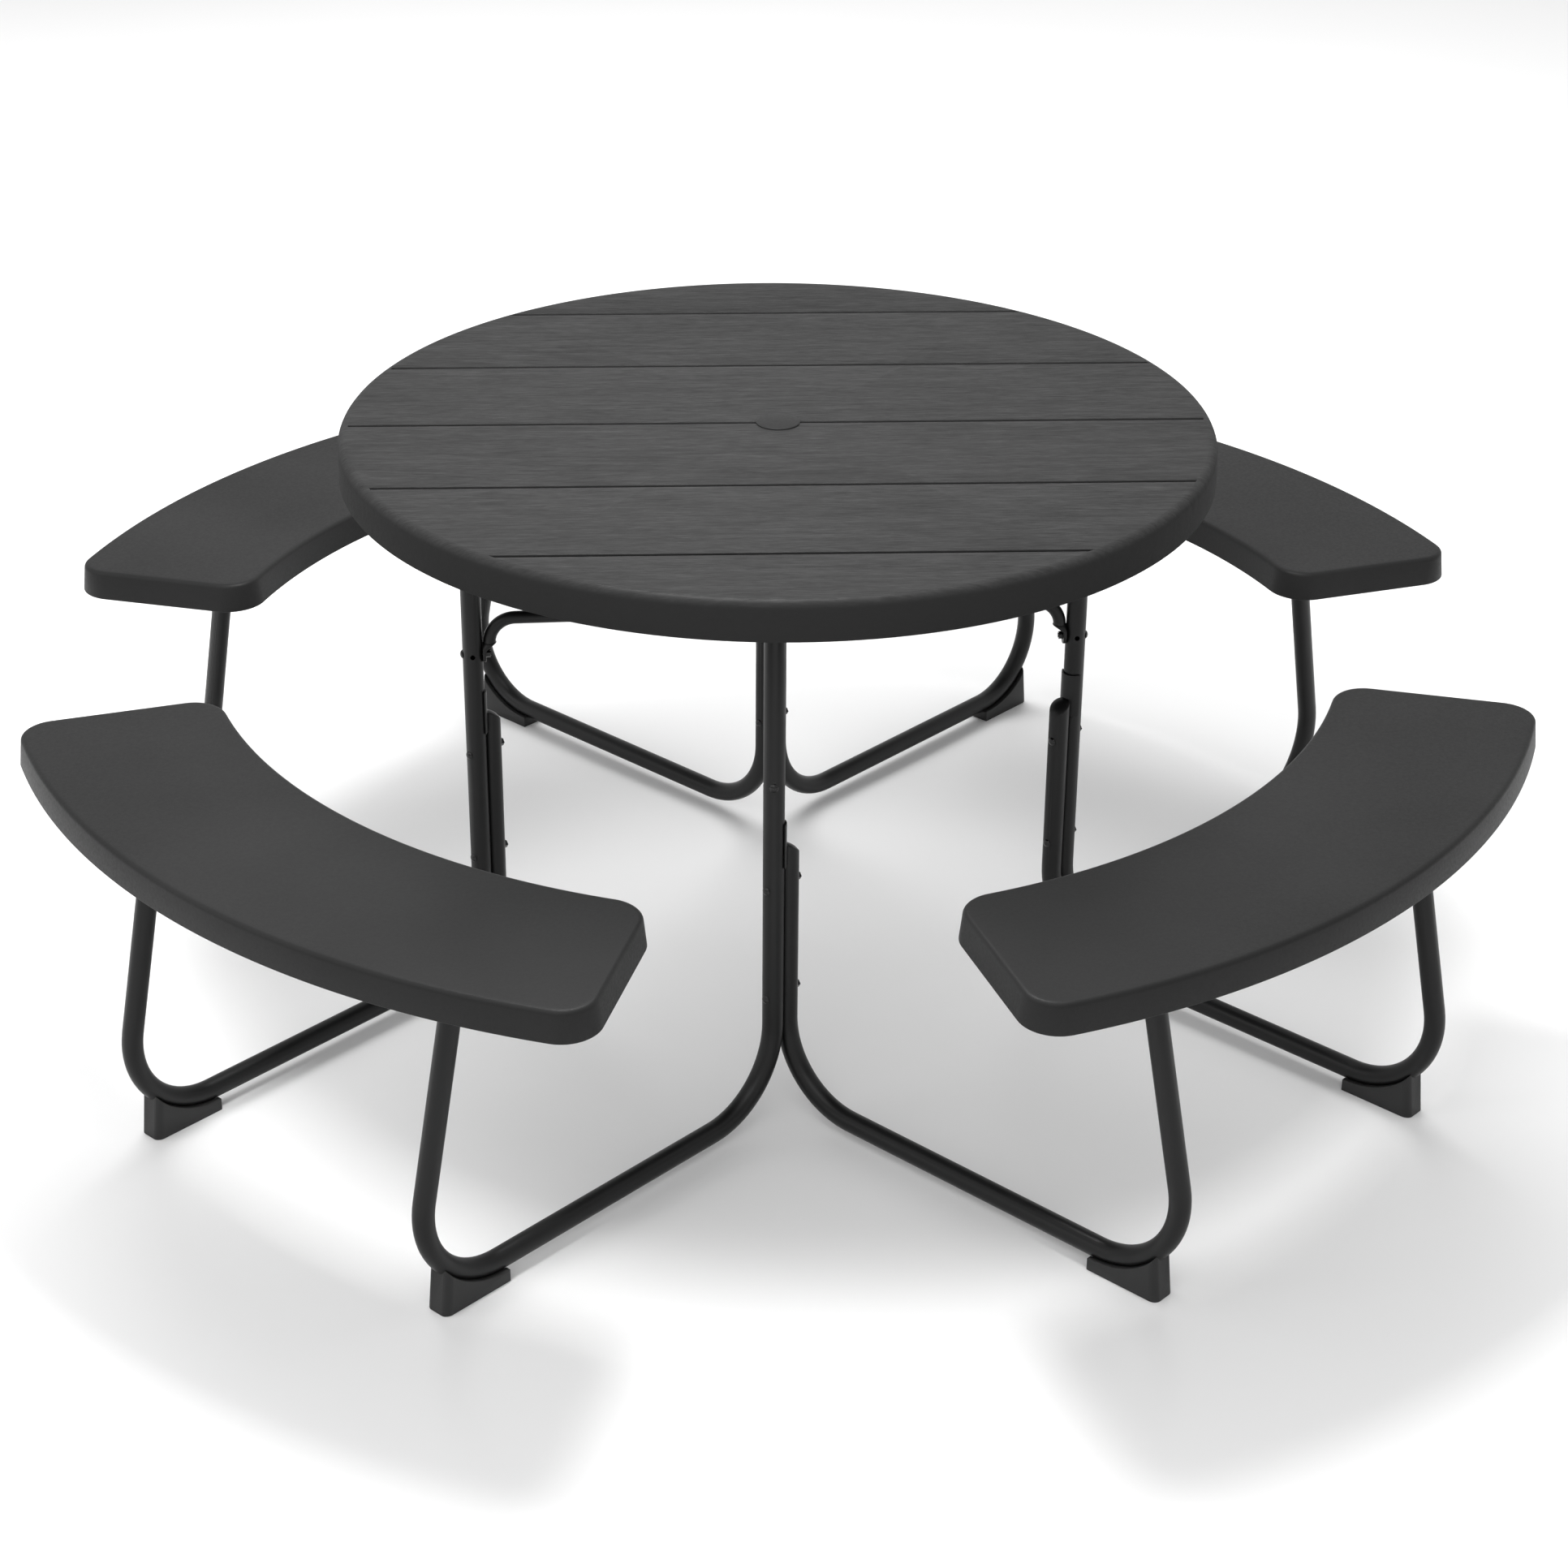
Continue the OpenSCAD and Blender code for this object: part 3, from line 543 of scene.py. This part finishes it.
FLOOR_SIZE = 30.0
EYE = (-0.1615, -3.7057, 2.1824)
YAW, PITCH, ROLL = -0.0465, 0.4791, 0.0081
SENSOR, LENS, SIGHT_END = 36.0, 74.63, 60.0


def floor():
    bm = bmesh.new()
    bmesh.ops.create_grid(bm, x_segments=1, y_segments=1, size=FLOOR_SIZE)
    mesh = bpy.data.meshes.new("floor")
    bm.to_mesh(mesh)
    bm.free()
    plane = bpy.data.objects.new("floor", mesh)
    bpy.context.scene.collection.objects.link(plane)
    s = Shader("pale floor")
    tone = s.noise(0.8, 2.0, 0.5)
    colour = s.ramp(tone, [(0.3, grey(0.87)), (0.7, grey(0.89))])
    rough = s.spread(tone, 0.3, 0.7, 0.55, 0.6)
    s.fix(Specular_IOR_Level=0.2)
    mesh.materials.append(s.finish(colour, rough, s.relief(tone, 0.0001, 0.1)))


def softbox(name, place, target, size, power, shine=True):
    data = bpy.data.lights.new(name, "AREA")
    data.shape = "RECTANGLE"
    data.size, data.size_y = size
    data.energy = power
    lamp = bpy.data.objects.new(name, data)
    lamp.location = place
    lamp.rotation_euler = (Vector(target) - Vector(place)).to_track_quat("-Z", "Y").to_euler()
    lamp.visible_glossy = shine
    bpy.context.scene.collection.objects.link(lamp)


def light():
    world = bpy.data.worlds.new("studio")
    world.use_nodes = True
    back = world.node_tree.nodes["Background"]
    back.inputs["Color"].default_value = (1.0, 1.0, 1.0, 1.0)
    back.inputs["Strength"].default_value = 0.78
    bpy.context.scene.world = world
    softbox("overhead", (-0.4, 3.0, 4.1), (0.0, 0.0, 0.5), (4.0, 2.6), 165.0, False)
    softbox("top light", (-0.12, -0.15, 1.95), (-0.06, -0.08, 0.75), (0.4, 0.4), 28.0)
    softbox("front fill", (-1.5, -4.0, 5.0), (0.0, 0.0, 0.2), (5.0, 4.0), 100.0)
    softbox("left fill", (-4.5, -1.0, 2.6), (0.0, 0.0, 0.5), (2.5, 2.5), 30.0)


def camera():
    ahead = Vector((-sin(YAW) * cos(PITCH), cos(YAW) * cos(PITCH), -sin(PITCH)))
    level = Vector((cos(YAW), sin(YAW), 0.0))
    above = level.cross(ahead)
    right = level * cos(ROLL) + above * sin(ROLL)
    up = above * cos(ROLL) - level * sin(ROLL)
    data = bpy.data.cameras.new("camera")
    data.sensor_width = SENSOR
    data.lens = LENS
    data.clip_end = SIGHT_END
    eye = bpy.data.objects.new("camera", data)
    turn = Matrix((right, up, -ahead)).transposed()
    eye.matrix_world = Matrix.Translation(EYE) @ turn.to_4x4()
    bpy.context.scene.collection.objects.link(eye)
    bpy.context.scene.camera = eye


floor()
light()
camera()
bpy.context.scene.view_settings.view_transform = "Standard"
